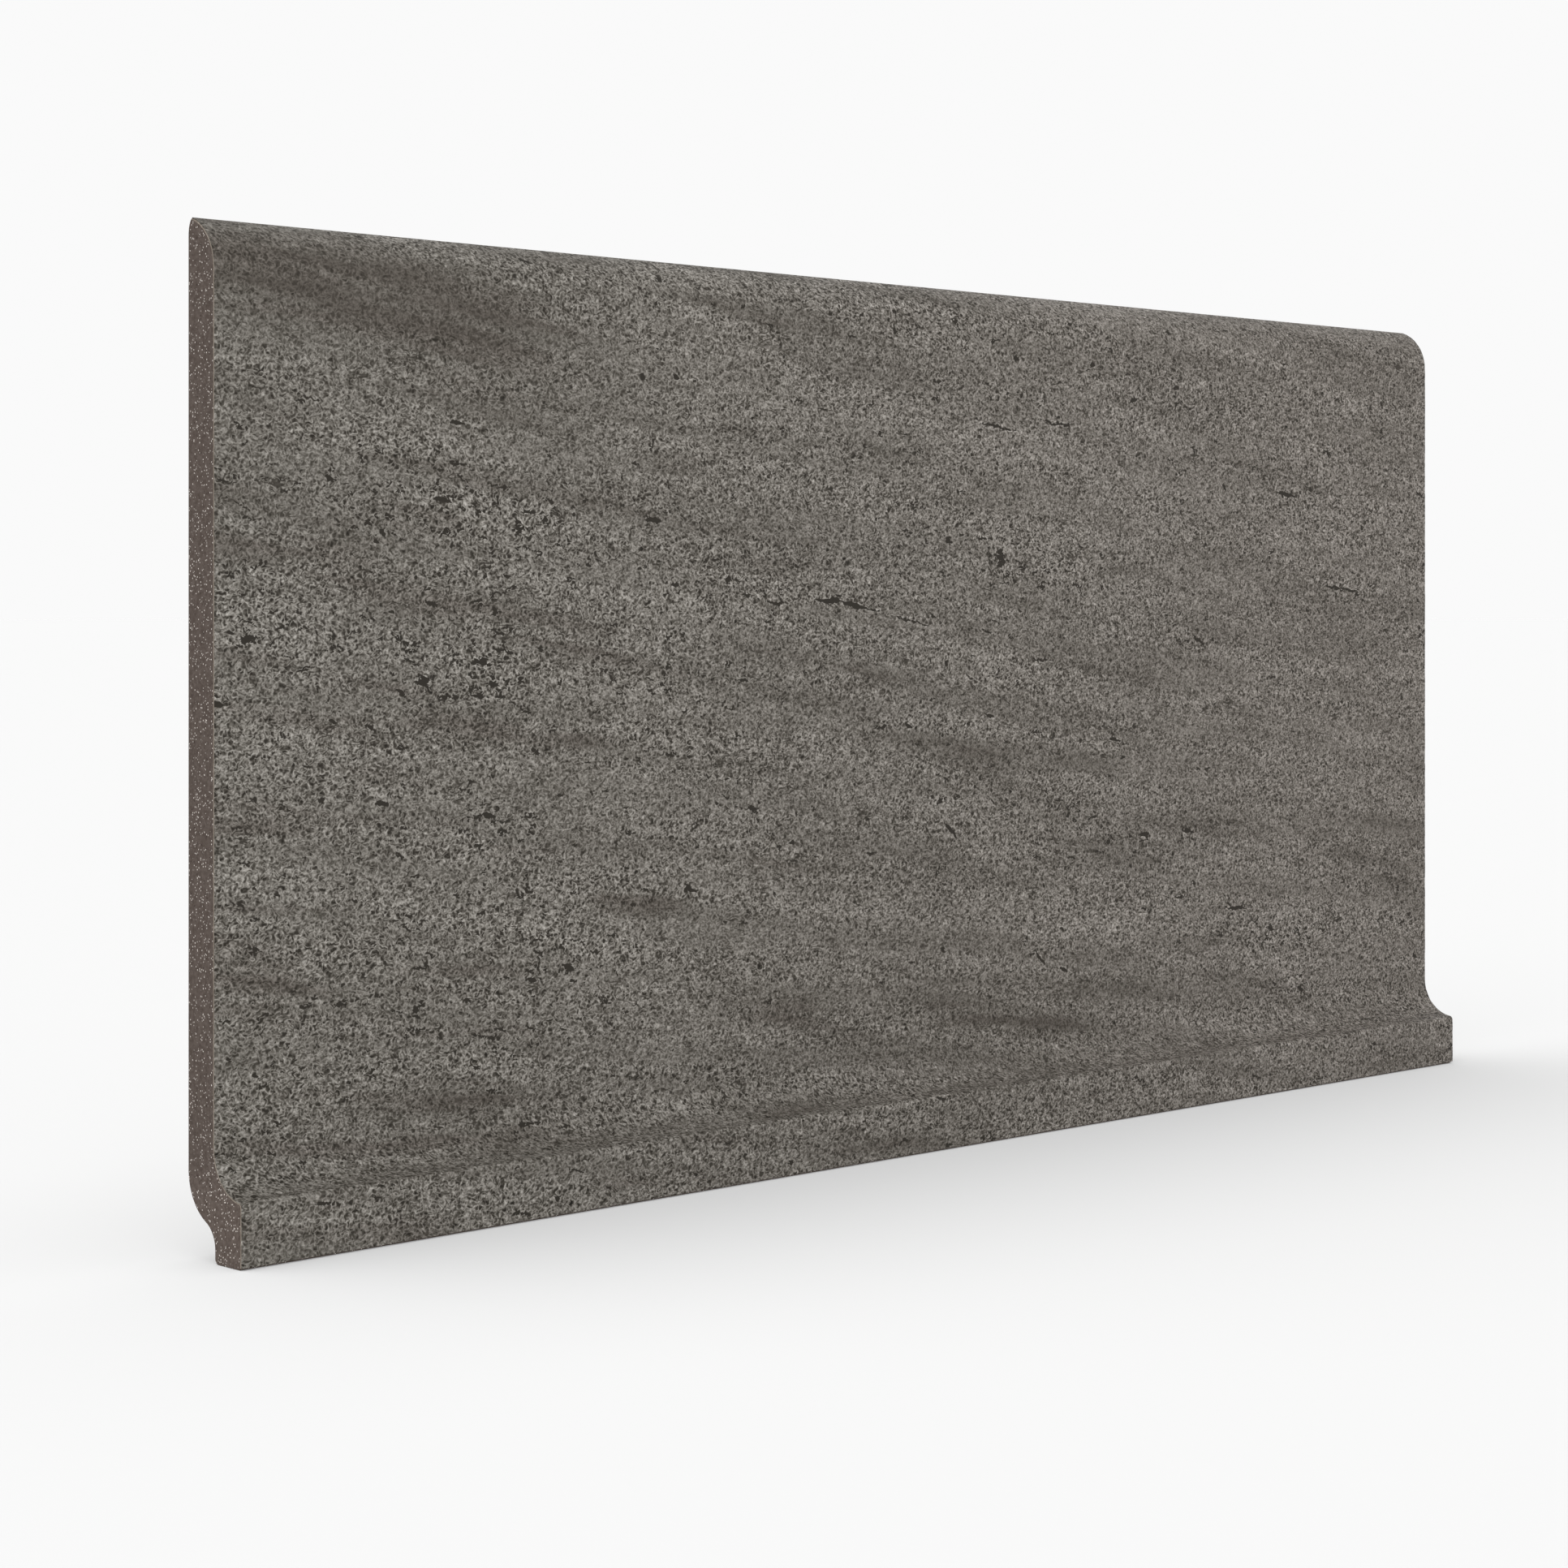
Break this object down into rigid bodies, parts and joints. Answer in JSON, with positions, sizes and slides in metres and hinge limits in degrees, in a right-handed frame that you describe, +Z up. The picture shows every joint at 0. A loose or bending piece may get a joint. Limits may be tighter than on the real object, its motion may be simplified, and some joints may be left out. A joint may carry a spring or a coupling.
{
  "type": "cove base skirting tile",
  "caption": "Stoneware cove base tile for the foot of a wall: flat glazed face, rounded top edge, and a foot that steps forward through a concave cove.",
  "frame": {"origin": "on the wall plane (the ribs of the tile's back) at mid-length, 80 mm above the floor, where the adhesive bed holds the tile", "axes": "+X along the tile's length, +Y into the wall, so the glazed face looks towards -Y, +Z up"},
  "size_m": [0.297, 0.0135, 0.15],
  "materials": {
    "stoneware": "matte",
    "engobe": "matte",
    "glaze": "matte"
  },
  "bodies": {
    "root": {"stoneware_body": "stoneware", "engobe_layer": "engobe", "glaze_layer": "glaze"}
  },
  "joints": []
}
